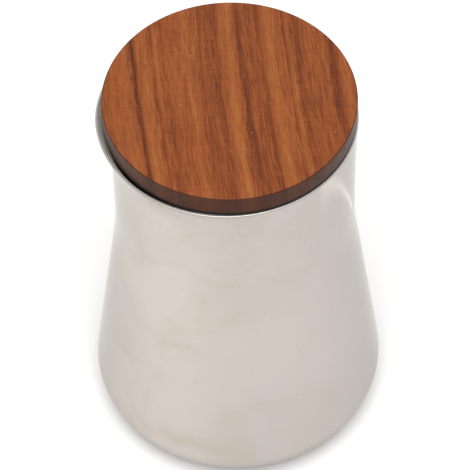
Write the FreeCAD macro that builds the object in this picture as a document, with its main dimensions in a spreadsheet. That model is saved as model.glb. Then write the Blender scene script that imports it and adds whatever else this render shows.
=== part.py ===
"""Lidded stainless-steel coffee pot with a waisted neck, a low belly and a small pouring lip.

Frame: millimetres, +Z up, origin on the pot's axis in the plane that it stands on.
The lip points towards -X. The lid is shown seated on the rim.
"""
import FreeCAD, Part
import math
import os
import re
import Sketcher

doc = FreeCAD.newDocument("coffee_pot")

# ---------------------------------------------------------------------------------------------------
# Driving dimensions, in millimetres and degrees
# ---------------------------------------------------------------------------------------------------
SIZES = {
    # pot: one drawn and spun steel shell
    "wall": (0.8, "sheet thickness of the shell"),
    "rim_height": (122.0, "top of the rim above the table"),
    "rim_round": (0.25, "rounding of the rim's two edges"),
    "neck_radius": (34.15, "outside radius at the waist of the neck"),
    "neck_straight": (13.0, "straight wall between the waist and the lip's start"),
    "neck_curve": (112.0, "radius of the hollow sweep below the waist"),
    "belly_radius": (42.85, "largest outside radius"),
    "belly_height": (11.5, "height of the largest radius"),
    "belly_curve": (11.8, "radius of the round from the belly up to the cone"),
    # mouth: round at the back, drawn out into a lip at the front
    "mouth_radius": (34.5, "outside radius of the rim behind the lip"),
    "lip_reach": (3.6, "how far the lip's tip stands out past the round mouth"),
    "lip_curl": (0.85, "share of that reach which the lip gains close under the rim"),
    "lip_depth": (24.0, "how far below the rim the lip starts"),
    "lip_side_angle": (30.0, "where the lip's sides leave the round mouth, from +X"),
    "lip_nose_angle": (8.0, "half the turn of the lip's tip"),
    # base: aluminium core inside a steel cap, under the floor
    "core_thick": (2.0, "aluminium core"),
    "cap_thick": (0.5, "steel cap"),
    "cap_inset": (0.6, "cap's edge inside the flat of the floor"),
    "cap_round": (0.4, "rounding of the cap's lower edge"),
    # lid: disc, plug, ring and screws
    "lid_thick": (6.0, "wooden disc"),
    "lid_margin": (0.35, "disc's edge inside the rim's outside, behind the lip"),
    "lid_round": (0.4, "rounding of the disc's two edges"),
    "lid_shift": (0.85, "lid's centre towards the lip, because the mouth is longer there"),
    "plug_height": (8.0, "turned plug under the disc"),
    "plug_round": (0.8, "rounding of the plug's lower edge"),
    "ring_thick": (1.0, "flat of the ring between disc and rim"),
    "ring_inset": (0.1, "ring's edge inside the disc's edge"),
    "ring_sleeve": (0.8, "wall of the ring's sleeve around the plug"),
    "fin_gap": (0.7, "between the ring's fins and the inside of the mouth"),
    "fin_reach": (1.5, "fins past the sleeve"),
    "fin_thick": (0.8, "one fin"),
    "fin_pitch": (2.6, "from one fin to the next"),
    "screw_count": (3, "screws in the plug"),
    "screw_circle": (20.0, "radius that the screws stand on"),
    "screw_radius": (1.5, "shank"),
    "screw_head": (2.9, "radius of the countersunk head"),
    "screw_cover": (2.4, "wood left over the tip of a screw"),
    "screw_play": (0.1, "clearance around shank and head in the plug"),
}

sheet = doc.addObject("Spreadsheet::Sheet", "Sizes")
for row, (alias, (value, meaning)) in enumerate(SIZES.items(), start=1):
    sheet.set(f"A{row}", alias)
    sheet.set(f"B{row}", str(value))
    sheet.set(f"C{row}", meaning)
    sheet.setAlias(f"B{row}", alias)
doc.recompute()


def size(alias):
    """A driving dimension as a plain number."""
    return float(sheet.get(alias))


def formula(text):
    """An expression written with bare aliases, as the document reads it."""
    return re.sub(r"[a-z_]+", lambda word: f"Sizes.{word[0]}" if word[0] in SIZES else word[0], text)


# Sizes that follow from the driving ones
FLOOR = "(cap_thick + core_thick)"
CORNER_CURVE = f"(belly_height - {FLOOR})"
FLAT_RADIUS = f"(belly_radius - {CORNER_CURVE})"
CAP_RADIUS = f"({FLAT_RADIUS} - cap_inset)"
LIP_START = "(rim_height - lip_depth)"
WAIST = f"({LIP_START} - neck_straight)"
DISC_UNDER = "(rim_height + ring_thick)"
PLUG_UNDER = f"({DISC_UNDER} - plug_height)"
LID_X = "(0 - lid_shift)"
LID_RADIUS = "(mouth_radius - lid_margin + lid_shift)"
# The lid's plug and ring pass the narrowest place between the rim and the plug's lower face
PLUG_RISE = f"(({PLUG_UNDER} - {LIP_START}) / lip_depth)"
NARROWEST = f"min(mouth_radius; neck_radius + (mouth_radius - neck_radius) * {PLUG_RISE}^2)"
FIN_RADIUS = f"({NARROWEST} - wall - fin_gap)"
SLEEVE_RADIUS = f"({FIN_RADIUS} - fin_reach)"
PLUG_RADIUS = f"({SLEEVE_RADIUS} - ring_sleeve)"
SCREW_BITE = "(lid_thick - screw_cover)"


def number(text):
    """The value of such an expression."""
    value = sheet.evalExpression(formula(text))
    return float(getattr(value, "Value", value))


# ---------------------------------------------------------------------------------------------------
# Helpers
# ---------------------------------------------------------------------------------------------------
def new_body(label, x="0", z="0"):
    """An empty body whose own origin stands at x, 0, z."""
    body = doc.addObject("PartDesign::Body", label)
    body.Label = label
    place(body, x, "0", z)
    return body


def place(item, x="0", y="0", z="0"):
    """Binds an object's position to the sheet."""
    item.setExpression(".Placement.Base.x", formula(x) + " * 1 mm")
    item.setExpression(".Placement.Base.y", formula(y) + " * 1 mm")
    item.setExpression(".Placement.Base.z", formula(z) + " * 1 mm")


def plane(body, role):
    """One of a body's own origin planes or axes."""
    for feature in body.Origin.OriginFeatures:
        if feature.Role == role:
            return feature
    raise ValueError(role)


def new_sketch(body, name, role="XZ_Plane"):
    """A sketch on one of the body's origin planes."""
    sketch = body.newObject("Sketcher::SketchObject", name)
    sketch.AttachmentSupport = [(plane(body, role), "")]
    sketch.MapMode = "FlatFace"
    return sketch


ORIGIN = (-1, 1)
VERTICAL_AXIS = -2
START, END, CENTRE = 1, 2, 3


def bind(sketch, kind, arguments, text):
    """A dimension of the sketch that follows the sheet."""
    index = sketch.addConstraint(Sketcher.Constraint(kind, *arguments, number(text)))
    sketch.setExpression(f"Constraints[{index}]", formula(text))


def join(sketch, kind, first, second):
    """Joins the end of one edge to the start of the next, sharp or tangent."""
    sketch.addConstraint(Sketcher.Constraint(kind, first, END, second, START))


def polygon(sketch, corners):
    """A closed outline of straight edges through corners, each a pair of expressions."""
    points = [FreeCAD.Vector(number(x), number(y), 0) for x, y in corners]
    count = len(points)
    edges = [sketch.addGeometry(Part.LineSegment(points[i], points[(i + 1) % count]), False)
             for i in range(count)]
    for i, (x, y) in enumerate(corners):
        join(sketch, "Coincident", edges[i - 1], edges[i])
        if x == "0":
            sketch.addConstraint(Sketcher.Constraint("PointOnObject", edges[i], START, VERTICAL_AXIS))
        else:
            bind(sketch, "DistanceX", (*ORIGIN, edges[i], START), x)
        bind(sketch, "DistanceY", (*ORIGIN, edges[i], START), y)


def turned(body, kind, sketch, name):
    """Revolves a sketch once round the body's own upright axis."""
    feature = body.newObject(kind, name)
    feature.Profile = sketch
    feature.ReferenceAxis = (sketch, ["V_Axis"])
    feature.Angle = 360.0
    doc.recompute()
    return feature


def level_edges(shape, height, tolerance=1e-4):
    """Numbers of the edges that lie flat at a height."""
    return [index for index, edge in enumerate(shape.Edges, start=1)
            if abs(edge.BoundBox.ZMin - height) < tolerance
            and abs(edge.BoundBox.ZMax - height) < tolerance]


# ---------------------------------------------------------------------------------------------------
# Pot body: floor, corner, belly, cone and neck are one turned shell
# ---------------------------------------------------------------------------------------------------
def shell_outline(sketch, inset):
    """The turned outline up to where the lip starts, moved inwards from the outside by inset.

    Floor, corner round, belly round, straight cone, hollow sweep and straight neck, all tangent.
    """
    floor = f"({FLOOR} + {inset})"
    corner = (FLAT_RADIUS, "belly_height", f"({CORNER_CURVE} - {inset})")
    belly = ("(belly_radius - belly_curve)", "belly_height", f"(belly_curve - {inset})")
    neck = ("(neck_radius + neck_curve)", WAIST, f"(neck_curve + {inset})")
    neck_wall = number(f"neck_radius - {inset}")
    top = number(LIP_START)

    corner_at, belly_at, neck_at = (
        FreeCAD.Vector(number(x), number(y), 0) for x, y, radius in (corner, belly, neck))
    corner_r, belly_r, neck_r = (number(radius) for x, y, radius in (corner, belly, neck))

    # The cone touches the belly round and the neck's sweep on opposite sides
    across = neck_at - belly_at
    turn = math.atan2(across.y, across.x) - math.acos((belly_r + neck_r) / across.Length)
    outward = FreeCAD.Vector(math.cos(turn), math.sin(turn), 0)
    cone_low = belly_at + outward * belly_r
    cone_high = neck_at - outward * neck_r

    def arc(centre, radius, start, end):
        circle = Part.Circle(centre, FreeCAD.Vector(0, 0, 1), radius)
        return Part.ArcOfCircle(circle, start, end)

    neck_low = FreeCAD.Vector(neck_wall, neck_at.y, 0)
    neck_high = FreeCAD.Vector(neck_wall, top, 0)
    floor_y = number(floor)
    line = Part.LineSegment
    add = lambda shape: sketch.addGeometry(shape, False)
    floor_edge = add(line(FreeCAD.Vector(0, floor_y, 0), FreeCAD.Vector(corner_at.x, floor_y, 0)))
    corner_edge = add(arc(corner_at, corner_r, -math.pi / 2, 0))
    belly_edge = add(arc(belly_at, belly_r, 0, turn))
    cone_edge = add(line(cone_low, cone_high))
    sweep_edge = add(arc(neck_at, neck_r, math.pi, math.pi + turn))
    neck_edge = add(line(neck_low, neck_high))
    top_edge = add(line(neck_high, FreeCAD.Vector(0, top, 0)))
    axis_edge = add(line(FreeCAD.Vector(0, top, 0), FreeCAD.Vector(0, floor_y, 0)))

    join(sketch, "Tangent", floor_edge, corner_edge)
    join(sketch, "Tangent", corner_edge, belly_edge)
    join(sketch, "Tangent", belly_edge, cone_edge)
    sketch.addConstraint(Sketcher.Constraint("Tangent", cone_edge, END, sweep_edge, END))
    sketch.addConstraint(Sketcher.Constraint("Tangent", sweep_edge, START, neck_edge, START))
    join(sketch, "Coincident", neck_edge, top_edge)
    join(sketch, "Coincident", top_edge, axis_edge)
    join(sketch, "Coincident", axis_edge, floor_edge)
    sketch.addConstraint(Sketcher.Constraint("Horizontal", floor_edge))
    sketch.addConstraint(Sketcher.Constraint("Vertical", neck_edge))
    sketch.addConstraint(Sketcher.Constraint("Horizontal", top_edge))
    sketch.addConstraint(Sketcher.Constraint("PointOnObject", axis_edge, START, VERTICAL_AXIS))
    sketch.addConstraint(Sketcher.Constraint("PointOnObject", axis_edge, END, VERTICAL_AXIS))
    bind(sketch, "DistanceY", (*ORIGIN, floor_edge, START), floor)
    bind(sketch, "DistanceY", (*ORIGIN, top_edge, START), LIP_START)
    bind(sketch, "DistanceY", (*ORIGIN, corner_edge, CENTRE), corner[1])
    for edge, (x, y, radius) in ((belly_edge, belly), (sweep_edge, neck)):
        bind(sketch, "DistanceX", (*ORIGIN, edge, CENTRE), x)
        bind(sketch, "DistanceY", (*ORIGIN, edge, CENTRE), y)
        bind(sketch, "Radius", (edge,), radius)


turned_shell = new_body("turned_shell")
outside = new_sketch(turned_shell, "shell_outside")
shell_outline(outside, "0")
turned(turned_shell, "PartDesign::Revolution", outside, "shell_solid")
solid_volume = turned_shell.Shape.Volume
inside = new_sketch(turned_shell, "shell_inside")
shell_outline(inside, "wall")
turned(turned_shell, "PartDesign::Groove", inside, "shell_hollow")
if turned_shell.Shape.Volume > 0.5 * solid_volume:
    raise RuntimeError("the shell isn't hollow")


# The mouth: level outlines, from a circle on the neck to the lipped rim, closer together near the rim,
# where the lip curls outwards
def mouth_outline(rise, inset):
    """A closed outline of four tangent arcs, at a share of the way up from the lip's start.

    The back is round. Each side is a wider arc, and the tip joins the two sides. The angles where
    the arcs meet are the same at every height, so the outline tends to a circle at the lip's start.
    """
    swell = rise ** 2
    back = size("neck_radius") + (size("mouth_radius") - size("neck_radius")) * swell
    tip = back + size("lip_reach") * (
        (1 - size("lip_curl")) * swell + size("lip_curl") * rise ** 6)
    side_turn = math.radians(size("lip_side_angle"))
    nose_turn = math.radians(size("lip_nose_angle"))
    height = number(LIP_START) + size("lip_depth") * rise
    widen = (tip - back) / (
        1 + math.cos(side_turn) - math.sin(side_turn) * math.tan(nose_turn / 2))
    side = back + widen
    nose = side - widen * math.sin(side_turn) / math.sin(nose_turn)
    nose_x = nose - tip

    def point(x, y, radius, angle):
        reach = radius - inset
        return FreeCAD.Vector(x + reach * math.cos(angle), y + reach * math.sin(angle), height)

    shift_x = -widen * math.cos(side_turn)
    shift_y = -widen * math.sin(side_turn)
    half_turn = math.pi
    stations = [
        point(0, 0, back, -side_turn),
        point(0, 0, back, 0),
        point(0, 0, back, side_turn),
        point(shift_x, shift_y, side, (side_turn + half_turn - nose_turn) / 2),
        point(nose_x, 0, nose, half_turn - nose_turn),
        point(nose_x, 0, nose, half_turn),
        point(nose_x, 0, nose, half_turn + nose_turn),
        point(shift_x, -shift_y, side, -(side_turn + half_turn - nose_turn) / 2),
        point(0, 0, back, -side_turn),
    ]
    arcs = [Part.Arc(*stations[i:i + 3]).toShape() for i in range(0, len(stations) - 1, 2)]
    return Part.Wire(arcs)


MOUTH_RISES = (0, 0.28, 0.52, 0.71, 0.86, 0.96, 1)


def mouth_loft(name, inset):
    """A solid through the outlines."""
    sections = []
    for step, rise in enumerate(MOUTH_RISES):
        section = doc.addObject("Part::Feature", f"{name}_section_{step}")
        section.Shape = mouth_outline(rise, inset)
        sections.append(section)
    loft = doc.addObject("Part::Loft", name)
    loft.Sections = sections
    loft.Solid = True
    loft.Ruled = False
    return loft


mouth_outside = mouth_loft("mouth_outside", 0)
mouth_inside = mouth_loft("mouth_inside", size("wall"))
mouth = doc.addObject("Part::Cut", "mouth")
mouth.Base = mouth_outside
mouth.Tool = mouth_inside
shell = doc.addObject("Part::Fuse", "shell")
shell.Base = turned_shell
shell.Tool = mouth
doc.recompute()

pot_body = doc.addObject("Part::Fillet", "pot_body")
pot_body.Label = "pot_body"
pot_body.Base = shell
rim_round = min(size("rim_round"), 0.4 * size("wall"))
pot_body.Edges = [(edge, rim_round, rim_round)
                  for edge in level_edges(shell.Shape, size("rim_height"))]
doc.recompute()

# ---------------------------------------------------------------------------------------------------
# Base: an aluminium core under the floor, closed in by a dished steel cap
# ---------------------------------------------------------------------------------------------------
base_core = doc.addObject("Part::Cylinder", "base_core")
base_core.Label = "base_core"
base_core.setExpression("Radius", formula(f"({CAP_RADIUS} - cap_thick) * 1 mm"))
base_core.setExpression("Height", formula("core_thick * 1 mm"))
place(base_core, z="cap_thick")

base_cap = new_body("base_cap")
cap_sketch = new_sketch(base_cap, "cap_section")
polygon(cap_sketch, [
    ("0", "0"),
    (CAP_RADIUS, "0"),
    (CAP_RADIUS, FLOOR),
    (f"({CAP_RADIUS} - cap_thick)", FLOOR),
    (f"({CAP_RADIUS} - cap_thick)", "cap_thick"),
    ("0", "cap_thick"),
])
cap_dish = turned(base_cap, "PartDesign::Revolution", cap_sketch, "cap_dish")
cap_rounding = base_cap.newObject("PartDesign::Fillet", "cap_rounding")
cap_rounding.Base = (cap_dish, [f"Edge{edge}" for edge in level_edges(cap_dish.Shape, 0.0)])
cap_rounding.setExpression("Radius", formula("cap_round * 1 mm"))

# ---------------------------------------------------------------------------------------------------
# Lid disc: flat turned disc with slightly rounded edges and blind pilot holes underneath
# ---------------------------------------------------------------------------------------------------
def screw_place(index):
    """Where a screw stands, as expressions."""
    turn = f"(360 deg * {index} / screw_count)"
    return f"({LID_X} + screw_circle * cos({turn}))", f"(screw_circle * sin({turn}))"


def round_bar(name, radius, length, x, y, z):
    """A cylinder that follows the sheet."""
    bar = doc.addObject("Part::Cylinder", name)
    bar.setExpression("Radius", formula(f"{radius} * 1 mm"))
    bar.setExpression("Height", formula(f"{length} * 1 mm"))
    place(bar, x, y, z)
    return bar


def head_cone(name, radius, x, y, z):
    """A countersunk head that narrows upwards to the shank at 45 degrees."""
    cone = doc.addObject("Part::Cone", name)
    cone.setExpression("Radius1", formula(f"{radius} * 1 mm"))
    cone.setExpression("Radius2", formula("screw_radius * 1 mm"))
    cone.setExpression("Height", formula(f"({radius} - screw_radius) * 1 mm"))
    place(cone, x, y, z)
    return cone


def united(name, parts):
    """Several solids as one."""
    union = doc.addObject("Part::MultiFuse", name)
    union.Shapes = parts
    return union


def cut(name, base, tool):
    """One solid less another."""
    result = doc.addObject("Part::Cut", name)
    result.Base = base
    result.Tool = tool
    return result


screw_numbers = range(int(size("screw_count")))
disc_blank = round_bar("disc_blank", LID_RADIUS, "lid_thick", LID_X, "0", DISC_UNDER)
pilots = united("pilot_holes", [
    round_bar(f"pilot_{index + 1}", "screw_radius", SCREW_BITE, *screw_place(index), DISC_UNDER)
    for index in screw_numbers])
disc_drilled = cut("disc_drilled", disc_blank, pilots)
doc.recompute()

lid_disc = doc.addObject("Part::Fillet", "lid_disc")
lid_disc.Label = "lid_disc"
lid_disc.Base = disc_drilled
edge_round = size("lid_round")
disc_levels = (number(DISC_UNDER), number(f"{DISC_UNDER} + lid_thick"))
lid_disc.Edges = [(edge, edge_round, edge_round)
                  for level in disc_levels
                  for edge in level_edges(disc_drilled.Shape, level)
                  if disc_drilled.Shape.Edges[edge - 1].Curve.Radius > size("screw_circle")]

# ---------------------------------------------------------------------------------------------------
# Lid plug: turned boss that keeps the lid in the mouth, with countersunk holes from below
# ---------------------------------------------------------------------------------------------------
plug_blank = round_bar("plug_blank", PLUG_RADIUS, "plug_height", LID_X, "0", PLUG_UNDER)
doc.recompute()
plug_rounded = doc.addObject("Part::Fillet", "plug_rounded")
plug_rounded.Base = plug_blank
plug_edge_round = size("plug_round")
plug_rounded.Edges = [(edge, plug_edge_round, plug_edge_round)
                      for edge in level_edges(plug_blank.Shape, number(PLUG_UNDER))]
holes = []
for index in screw_numbers:
    at = screw_place(index)
    holes.append(round_bar(f"plug_hole_{index + 1}", "(screw_radius + screw_play)", "plug_height",
                           *at, PLUG_UNDER))
    holes.append(head_cone(f"plug_sink_{index + 1}", "(screw_head + screw_play)", *at, PLUG_UNDER))
lid_plug = cut("lid_plug", plug_rounded, united("plug_holes", holes))
lid_plug.Label = "lid_plug"

# ---------------------------------------------------------------------------------------------------
# Lid ring: black silicone, a flat that lies on the rim and a finned sleeve round the plug
# ---------------------------------------------------------------------------------------------------
lid_ring = new_body("lid_ring", x=LID_X, z=DISC_UNDER)
ring_sketch = new_sketch(lid_ring, "ring_section")
FIN_COUNT = 2
fin_corners = []
for fin in range(1, FIN_COUNT + 1):
    fin_top = f"(0 - ring_thick - {fin} * fin_pitch + fin_thick)"
    fin_under = f"(0 - ring_thick - {fin} * fin_pitch)"
    fin_corners += [
        (SLEEVE_RADIUS, fin_top),
        (FIN_RADIUS, fin_top),
        (FIN_RADIUS, f"({fin_under} + 0.5 * fin_thick)"),
        (SLEEVE_RADIUS, fin_under),
    ]
polygon(ring_sketch, [
    (PLUG_RADIUS, "0"),
    (f"({LID_RADIUS} - ring_inset)", "0"),
    (f"({LID_RADIUS} - ring_inset)", "(0 - ring_thick)"),
    (SLEEVE_RADIUS, "(0 - ring_thick)"),
    *fin_corners,
    (SLEEVE_RADIUS, f"(0 - ring_thick - {FIN_COUNT} * fin_pitch - 0.5 * fin_thick)"),
    (PLUG_RADIUS, f"(0 - ring_thick - {FIN_COUNT} * fin_pitch - 0.5 * fin_thick)"),
])
turned(lid_ring, "PartDesign::Revolution", ring_sketch, "ring_solid")

# ---------------------------------------------------------------------------------------------------
# Lid screws: countersunk, up through the plug into the disc
# ---------------------------------------------------------------------------------------------------
lid_screws = []
for index in screw_numbers:
    at = screw_place(index)
    label = f"lid_screw_{index + 1}"
    shank = round_bar(f"{label}_shank", "screw_radius", f"(plug_height + {SCREW_BITE})", *at, PLUG_UNDER)
    head = head_cone(f"{label}_head", "screw_head", *at, PLUG_UNDER)
    screw = united(label, [shank, head])
    screw.Label = label
    lid_screws.append(screw)

# ---------------------------------------------------------------------------------------------------
# Checks and export
# ---------------------------------------------------------------------------------------------------
doc.recompute()
for item in doc.Objects:
    if "Invalid" in item.State or "Error" in item.State:
        raise RuntimeError(f"{item.Name} failed: {item.State}")

os.makedirs("parts", exist_ok=True)
for node in [pot_body, base_core, base_cap, lid_disc, lid_plug, lid_ring, *lid_screws]:
    shape = node.Shape
    if shape.isNull() or not shape.isValid() or len(shape.Solids) != 1:
        raise RuntimeError(f"{node.Label} isn't one valid solid")
    shape.exportStep(f"parts/{node.Label}.step")
    box = shape.BoundBox
    print(f"{node.Label}: {shape.Volume / 1000:.2f} cm3,"
          f" z {box.ZMin:.2f} to {box.ZMax:.2f}, x {box.XMin:.2f} to {box.XMax:.2f}")
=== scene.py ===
"""Looks of a lidded steel coffee pot.

A spun steel shell stands on a sandwich base, and a loose wooden lid with a black ring sits in its mouth.
"""
import math
import bpy
from mathutils import Matrix, Vector


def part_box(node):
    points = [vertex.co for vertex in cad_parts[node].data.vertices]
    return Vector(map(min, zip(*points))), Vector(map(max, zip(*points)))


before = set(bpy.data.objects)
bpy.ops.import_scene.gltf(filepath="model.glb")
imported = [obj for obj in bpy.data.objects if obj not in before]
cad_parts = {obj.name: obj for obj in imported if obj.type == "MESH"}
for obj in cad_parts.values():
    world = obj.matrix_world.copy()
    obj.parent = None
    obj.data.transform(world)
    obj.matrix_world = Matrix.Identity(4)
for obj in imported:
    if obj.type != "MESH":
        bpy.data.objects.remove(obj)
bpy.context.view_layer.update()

# ---------------------------------------------------------------------------------------------------
# Studio: a long lens looks down on the pot, which stands on a white board under a big soft light.
# The light hangs overhead and a little in front, so its shadow falls behind the pot.
# ---------------------------------------------------------------------------------------------------
CAMERA_HEIGHT_ANGLE = math.radians(52.95)
CAMERA_ROLL = math.radians(-1.33)
CAMERA_DISTANCE = 0.8185
CAMERA_LENS = 216.4
CAMERA_AIM = Vector((-0.0002, 0.0, 0.0671))
SKY_COLOUR = (1.0, 0.985, 0.965, 1.0)
SKY_STRENGTH = 1.32
LIGHT_PLACE = Vector((0.0, -0.5, 1.15))
LIGHT_WIDTH = 0.8
LIGHT_POWER = 14.6

back_along_view = Vector((0.0, -math.cos(CAMERA_HEIGHT_ANGLE), math.sin(CAMERA_HEIGHT_ANGLE)))
eye = CAMERA_AIM + CAMERA_DISTANCE * back_along_view
camera = bpy.data.objects.new("camera", bpy.data.cameras.new("camera"))
bpy.context.scene.collection.objects.link(camera)
turn = (CAMERA_AIM - eye).to_track_quat("-Z", "Y").to_matrix().to_4x4()
camera.matrix_world = Matrix.Translation(eye) @ turn @ Matrix.Rotation(CAMERA_ROLL, 4, "Z")
camera.data.lens = CAMERA_LENS
camera.data.sensor_width = 36.0
bpy.context.scene.camera = camera
bpy.context.scene.view_settings.view_transform = "Standard"

world = bpy.data.worlds.new("studio")
world.use_nodes = True
world.node_tree.nodes["Background"].inputs["Color"].default_value = SKY_COLOUR
world.node_tree.nodes["Background"].inputs["Strength"].default_value = SKY_STRENGTH
bpy.context.scene.world = world

lamp = bpy.data.lights.new("overhead", "AREA")
lamp.shape = "SQUARE"
lamp.size = LIGHT_WIDTH
lamp.energy = LIGHT_POWER
light = bpy.data.objects.new("overhead", lamp)
light.location = LIGHT_PLACE
light.rotation_euler = (-LIGHT_PLACE).to_track_quat("-Z", "Y").to_euler()
bpy.context.scene.collection.objects.link(light)


class Value:
    """A number, colour or vector inside a material; arithmetic on a number adds Math nodes."""

    def __init__(self, socket):
        self.socket = socket

    def _maths(self, operation, *operands, clamp=False):
        node = self.socket.id_data.nodes.new("ShaderNodeMath")
        node.operation = operation
        node.use_clamp = clamp
        for slot, operand in zip(node.inputs, operands):
            if isinstance(operand, Value):
                node.id_data.links.new(operand.socket, slot)
            else:
                slot.default_value = operand
        return Value(node.outputs[0])

    def __add__(self, other):
        return self._maths("ADD", self, other)

    def __radd__(self, other):
        return self._maths("ADD", other, self)

    def __sub__(self, other):
        return self._maths("SUBTRACT", self, other)

    def __rsub__(self, other):
        return self._maths("SUBTRACT", other, self)

    def __mul__(self, other):
        return self._maths("MULTIPLY", self, other)

    def __rmul__(self, other):
        return self._maths("MULTIPLY", other, self)

    def __truediv__(self, other):
        return self._maths("DIVIDE", self, other)

    def __rtruediv__(self, other):
        return self._maths("DIVIDE", other, self)

    def __pow__(self, other):
        return self._maths("POWER", self, other)

    def clamped(self):
        """The number held between 0 and 1."""
        return self._maths("ADD", self, 0.0, clamp=True)


class Finish:
    """A material under construction: add() makes any node, colours and vectors included."""

    def __init__(self, name, metallic=0.0, roughness=0.5, **constants):
        self.material = bpy.data.materials.new(name)
        self.material.use_nodes = True
        self.tree = self.material.node_tree
        self.shader = self.tree.nodes["Principled BSDF"]
        self.shader.inputs["Metallic"].default_value = metallic
        self.shader.inputs["Roughness"].default_value = roughness
        for socket, value in constants.items():
            self.shader.inputs[socket.replace("_", " ")].default_value = value

    def add(self, kind, settings=None, inputs=None, output=0):
        """A node of a kind, its settings first, then its sockets' values or links. Returns one output."""
        node = self.tree.nodes.new(kind)
        for key, value in (settings or {}).items():
            if key == "stops":
                ramp = node.color_ramp.elements
                while len(ramp) < len(value):
                    ramp.new(1.0)
                for stop, (position, colour) in zip(ramp, value):
                    stop.position = position
                    stop.color = (*colour, 1.0)
            else:
                setattr(node, key, value)
        for key, value in (inputs or {}).items():
            if isinstance(value, Value):
                self.tree.links.new(value.socket, node.inputs[key])
            else:
                node.inputs[key].default_value = value
        return Value(node.outputs[output])

    def mix(self, factor, first, second):
        """Two colours mixed by a factor. A Mix node's colours are its sockets 6 and 7, and its output 2."""
        inputs = {0: factor, 6: first, 7: second}
        for key in (6, 7):
            if not isinstance(inputs[key], Value):
                inputs[key] = (*inputs[key], 1.0)
        return self.add("ShaderNodeMix", {"data_type": "RGBA"}, inputs, output=2)

    def noise(self, place, scale, detail=3.0, roughness=0.5, distortion=0.0):
        """Soft noise from 0 to 1, about 0.5 on average."""
        return self.add("ShaderNodeTexNoise", {}, {
            "Vector": place, "Scale": scale, "Detail": detail, "Roughness": roughness,
            "Distortion": distortion})

    def step(self, value, low, high):
        """A smooth rise from 0 at low to 1 at high."""
        return self.add("ShaderNodeMapRange", {"interpolation_type": "SMOOTHSTEP"}, {
            "Value": value, "From Min": low, "From Max": high, "To Min": 0.0, "To Max": 1.0})

    def place(self):
        """Where a point lies on the object, in metres."""
        return self.add("ShaderNodeTexCoord", output="Object")

    def vector(self, x=0.0, y=0.0, z=0.0):
        """A vector of three parts."""
        return self.add("ShaderNodeCombineXYZ", {}, {"X": x, "Y": y, "Z": z})

    def split(self, vector):
        """The three parts of a vector."""
        node = self.add("ShaderNodeSeparateXYZ", {}, {"Vector": vector}).socket.node
        return [Value(part) for part in node.outputs]

    def set(self, **links):
        """Links what varies to the shader."""
        for socket, value in links.items():
            self.tree.links.new(value.socket, self.shader.inputs[socket.replace("_", " ")])

    def bump(self, height, strength, distance):
        """Raises the surface where height is 1."""
        self.set(Normal=self.add("ShaderNodeBump", {}, {
            "Height": height, "Strength": strength, "Distance": distance}))


# The board lies a hair under the base and pales towards the horizon. A curved line on it, right of the
# pot and mostly out of the camera's view, is painted whiter as painted light, only for the polished neck to
# mirror as a painted highlight.
BOARD_WIDTH = 4.0
BOARD_GAP = 0.0001
BOARD_WHITE = (0.62, 0.62, 0.62)
HORIZON_WHITE = (0.86, 0.86, 0.86)
PALES_FROM = 0.3
PALES_TO = 1.6
PAINTED_LIGHT_WHITE = (0.95, 0.95, 0.95)
STREAK_MIDDLE_X = 0.050
STREAK_MIDDLE_Y = -0.005
STREAK_RADIUS = 0.060
STREAK_HALF_WIDTH = 0.0009

board = Finish("white_board", roughness=0.9)
x, y, _ = board.split(board.place())
from_pot = (x * x + y * y) ** 0.5
right = x - STREAK_MIDDLE_X
back = y - STREAK_MIDDLE_Y
off_streak = ((right * right + back * back) ** 0.5 - STREAK_RADIUS) / STREAK_HALF_WIDTH
# It fades out at both ends, at the back and at the front
streak_ends = board.step(x, 0.056, 0.074) * board.step(y, -0.030, -0.012)
# A painted streak of light, for the polished neck to mirror as a painted highlight
painted_light_streak = streak_ends / (1.0 + off_streak * off_streak)
white = board.mix(board.step(from_pot, PALES_FROM, PALES_TO), BOARD_WHITE, HORIZON_WHITE)
board.set(Base_Color=board.mix(painted_light_streak, white, PAINTED_LIGHT_WHITE))

bpy.ops.object.select_all(action="DESELECT")
bpy.ops.mesh.primitive_plane_add(size=BOARD_WIDTH, location=(0.0, 0.0, -BOARD_GAP))
floor = bpy.context.object
floor.name = "white_board"
floor.data.materials.append(board.material)

# ---------------------------------------------------------------------------------------------------
# Pot body: stainless sheet, drawn and spun, with the lip pressed out of the mouth. It is polished outside
# and satin inside; its cut rim is dull, and its colour there is painted darker as painted shade. The side
# with the lip is painted paler as a painted reflection. Faint cloudy marks lie on it, mostly on the front.
# ---------------------------------------------------------------------------------------------------
MM = 0.001
WARM_STEEL = (0.490, 0.450, 0.424)
COOL_STEEL = (0.470, 0.437, 0.412)
REFLECTION_PALER_STEEL = (0.575, 0.527, 0.487)
CLOUDY_MARK = (0.43, 0.39, 0.32)
SPECK = (0.28, 0.25, 0.21)
SATIN_STEEL = (0.82, 0.79, 0.74)
SHADED_RIM_STEEL = (0.30, 0.28, 0.26)
_, pot_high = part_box("pot_body")
rim_height = pot_high.z / MM


def dress(node, finish):
    """Gives a CAD node a finish."""
    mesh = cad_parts[node].data
    mesh.materials.clear()
    mesh.materials.append(finish.material)


steel = Finish("polished_steel", metallic=1.0, Specular_Tint=(0.77, 0.77, 0.77, 1.0))
place = steel.place()
x, y, z = steel.split(place)
facing_x, facing_y, facing_z = steel.split(steel.add("ShaderNodeTexCoord", output="Normal"))

# The wall's inside faces the axis, and the floor's inside faces up and lies low
facing_out = (facing_x * x + facing_y * y) / (x * x + y * y) ** 0.5
wall_inside = steel.step(facing_out, 0.1, -0.3)
floor_inside = steel.step(facing_z, 0.2, 0.6) * steel.step(z / MM, 20.0, 14.0)
satin = (wall_inside + floor_inside).clamped()
# The cut rim is dull, and its colour is painted darker there: painted shade that dims its highlight
dull_and_shaded_rim = steel.step(z / MM, rim_height - 0.8, rim_height - 0.3)

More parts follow.
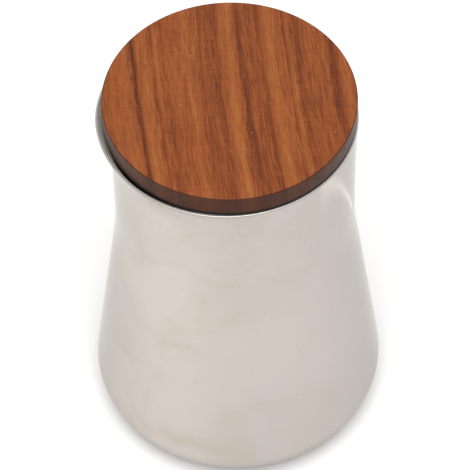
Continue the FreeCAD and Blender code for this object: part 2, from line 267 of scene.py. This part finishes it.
# The marks are strongest on the front, left of the middle
swirl = steel.noise(place, 30.0, detail=2.0) * 0.02
marks_place = steel.vector(x + swirl, y, z * 1.1 + swirl)
marks = steel.step(steel.noise(marks_place, 48.0, distortion=0.7), 0.38, 0.78)
front = steel.step(y / MM, -12.0, -34.0) * steel.step(x / MM, 22.0, -6.0)
marks = marks * (0.35 + 0.65 * front)
specks = steel.step(steel.noise(place, 900.0, detail=1.0), 0.74, 0.8)

# Painted reflection: the side with the lip is painted a little paler, most of all on the neck
painted_reflection_paler = steel.step(x / MM, 1.0, -24.0) * (0.55 + 0.45 * steel.step(z / MM, 50.0, 84.0))

tone = steel.step(steel.noise(place, 16.0, detail=1.0), 0.35, 0.65)
colour = steel.mix(tone, WARM_STEEL, COOL_STEEL)
colour = steel.mix(painted_reflection_paler, colour, REFLECTION_PALER_STEEL)
colour = steel.mix(marks * 0.7, colour, CLOUDY_MARK)
colour = steel.mix(specks * 0.4, colour, SPECK)
colour = steel.mix(satin * 0.8, colour, SATIN_STEEL)
colour = steel.mix(dull_and_shaded_rim * 0.7, colour, SHADED_RIM_STEEL)
steel.set(
    Base_Color=colour,
    Roughness=0.07 + marks * 0.07 + specks * 0.1 + satin * 0.62 + dull_and_shaded_rim * 0.3,
    Metallic=1.0 - satin * 0.25)
dress("pot_body", steel)

# ---------------------------------------------------------------------------------------------------
# Base: an aluminium disc brazed under the floor, and the thin steel cap pressed over it.
# The cap's underside is turned, which leaves fine rings, and it is scuffed where it stands on a hob.
# ---------------------------------------------------------------------------------------------------
aluminium = Finish("rolled_aluminium", metallic=1.0)
x, y, _ = aluminium.split(aluminium.place())
rolling_lines = aluminium.noise(aluminium.vector(x * 60.0, y * 3000.0), 1.0)
aluminium.set(
    Base_Color=aluminium.mix(rolling_lines, (0.72, 0.72, 0.73), (0.80, 0.80, 0.81)),
    Roughness=0.32 + rolling_lines * 0.15)
dress("base_core", aluminium)

turned_steel = Finish("turned_steel", metallic=1.0, Specular_Tint=(0.85, 0.85, 0.85, 1.0))
place = turned_steel.place()
x, y, z = turned_steel.split(place)
from_axis = (x * x + y * y) ** 0.5
rings = turned_steel.noise(turned_steel.vector(from_axis / MM, z / MM), 1.0, detail=2.0)
scuffs = turned_steel.step(turned_steel.noise(place, 160.0, detail=4.0, roughness=0.7), 0.52, 0.7)
turned_steel.set(
    Base_Color=turned_steel.mix(scuffs * 0.6, (0.50, 0.465, 0.435), (0.36, 0.33, 0.30)),
    Roughness=0.2 + rings * 0.16 + scuffs * 0.2)
turned_steel.bump(rings, 0.25, 0.0001)
dress("base_cap", turned_steel)

# ---------------------------------------------------------------------------------------------------
# Lid disc and plug: red-brown hardwood with dark ribbon stripes, sawn along the grain, turned and oiled.
# The disc's turned edge is much darker than its face, partly as painted shade.
# ---------------------------------------------------------------------------------------------------
lid_low, lid_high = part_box("lid_disc")
lid_middle = (lid_low + lid_high) / 2
lid_radius = (lid_high.x - lid_low.x) / 2 / MM

# Each stripe, in mm: how far right of the lid's middle, half its width, how dark (or light, below 0)
STRIPES = [
    (-33.8, 1.0, 0.35), (-29.0, 2.6, -0.2), (-25.0, 0.6, 1.15), (-22.6, 1.1, -0.35), (-19.6, 0.3, 0.6),
    (-18.5, 0.4, -0.3), (-16.6, 1.3, 0.35), (-10.2, 1.0, -0.35), (-6.0, 2.2, 0.3), (-2.3, 0.9, 0.45),
    (1.4, 1.0, -0.75), (4.8, 1.0, 0.75), (8.0, 1.1, 0.2), (10.2, 0.7, 0.7), (13.0, 1.4, -0.4),
    (17.2, 0.3, 0.75), (18.5, 0.4, -0.4), (20.4, 1.0, 0.7), (25.0, 2.0, 0.1), (29.7, 1.0, 1.0),
    (32.9, 0.7, -0.5),
]
PALE_TO_DARK = [
    (0.0, (0.215, 0.075, 0.018)), (0.28, (0.185, 0.056, 0.0125)), (0.5, (0.153, 0.040, 0.009)),
    (0.72, (0.105, 0.024, 0.005)), (1.0, (0.050, 0.0105, 0.003)),
]
PORE = (0.060, 0.014, 0.004)
PALE_FLECK = (0.40, 0.24, 0.13)
DARK_EDGE_AND_SHADE = (0.015, 0.004, 0.002)


def hardwood(name):
    """Striped hardwood whose grain runs along Y and leans a little, more so towards both sides."""
    wood = Finish(name, Specular_IOR_Level=0.12)
    place = wood.place()
    x, y, z = wood.split(place)
    across = (x - lid_middle.x) / MM
    along = (y - lid_middle.y) / MM

    # How far right a point's fibre lies where it crosses the lid's middle
    lean = 0.09 + across * across * 0.000028
    wander = (wood.noise(wood.vector(across * 0.05, along * 0.03), 1.0) - 0.5) * 1.6
    grain = across + lean * along - along * along * 0.0007 + wander

    along_fibre = wood.vector(grain, along * 0.06, z / MM * 0.3)
    fibre = wood.noise(along_fibre, 2.6, detail=5.0, roughness=0.7)
    ribbon = wood.noise(along_fibre, 0.55, roughness=0.6)
    ripple = wood.noise(wood.vector(across * 0.12, along * 0.9), 1.0, detail=2.0)
    tone = (fibre - 0.5) * 3.6 + (ribbon - 0.5) * 1.8 + (ripple - 0.5) * 0.6
    feathered = grain + (fibre - 0.5) * 1.5
    for middle, half_width, depth in STRIPES:
        offset = (feathered - middle) / half_width
        square = offset * offset
        tone = tone + depth / (1.0 + square * (0.5 + square * 0.5))
    colour = wood.add("ShaderNodeValToRGB", {"stops": PALE_TO_DARK}, {"Fac": tone * 0.36 + 0.52})

    pores_place = wood.vector(grain * 4.5, along * 0.5, z / MM)
    pores = wood.step(wood.noise(pores_place, 1.0, detail=1.0), 0.6, 0.72)
    colour = wood.mix(pores * 0.45, colour, PORE)
    flecks = wood.step(wood.noise(place, 1300.0, detail=0.0), 0.85, 0.88)
    colour = wood.mix(flecks * 0.5, colour, PALE_FLECK)

    from_middle = (across * across + along * along) ** 0.5
    # The edge's darkening is partly the wood's own and partly painted shade
    dark_edge_and_shade = wood.step(from_middle, lid_radius - 0.4, lid_radius - 0.08)
    colour = wood.mix(dark_edge_and_shade * 0.8, colour, DARK_EDGE_AND_SHADE)
    wood.set(Base_Color=colour, Roughness=0.42 + pores * 0.2)
    wood.bump(fibre * 0.6 + (1.0 - pores) * 0.4, 0.15, 0.0001)
    return wood


dress("lid_disc", hardwood("striped_hardwood"))
dress("lid_plug", hardwood("plug_hardwood"))

# ---------------------------------------------------------------------------------------------------
# Lid ring: moulded black silicone, sprung over the plug and held under the disc. It is matte, and a
# little dust sticks to it.
# ---------------------------------------------------------------------------------------------------
silicone = Finish("black_silicone", Specular_IOR_Level=0.15)
dust = silicone.step(silicone.noise(silicone.place(), 420.0, roughness=0.7), 0.5, 0.75)
silicone.set(
    Base_Color=silicone.mix(dust, (0.0045, 0.0038, 0.0034), (0.011, 0.0095, 0.0085)),
    Roughness=0.55 + dust * 0.15)
silicone.bump(dust, 0.1, 0.00005)
dress("lid_ring", silicone)

# ---------------------------------------------------------------------------------------------------
# Lid screws: three small stainless countersunk screws that hold the plug to the disc. They are turned,
# and the tool leaves fine rings round them.
# ---------------------------------------------------------------------------------------------------
screw_steel = Finish("screw_steel", metallic=1.0)
_, _, z = screw_steel.split(screw_steel.place())
tool_rings = screw_steel.noise(screw_steel.vector(z=z * 9000.0), 1.0, detail=2.0)
screw_steel.set(
    Base_Color=screw_steel.mix(tool_rings, (0.55, 0.545, 0.54), (0.64, 0.635, 0.63)),
    Roughness=0.2 + tool_rings * 0.15)
for number in (1, 2, 3):
    dress(f"lid_screw_{number}", screw_steel)
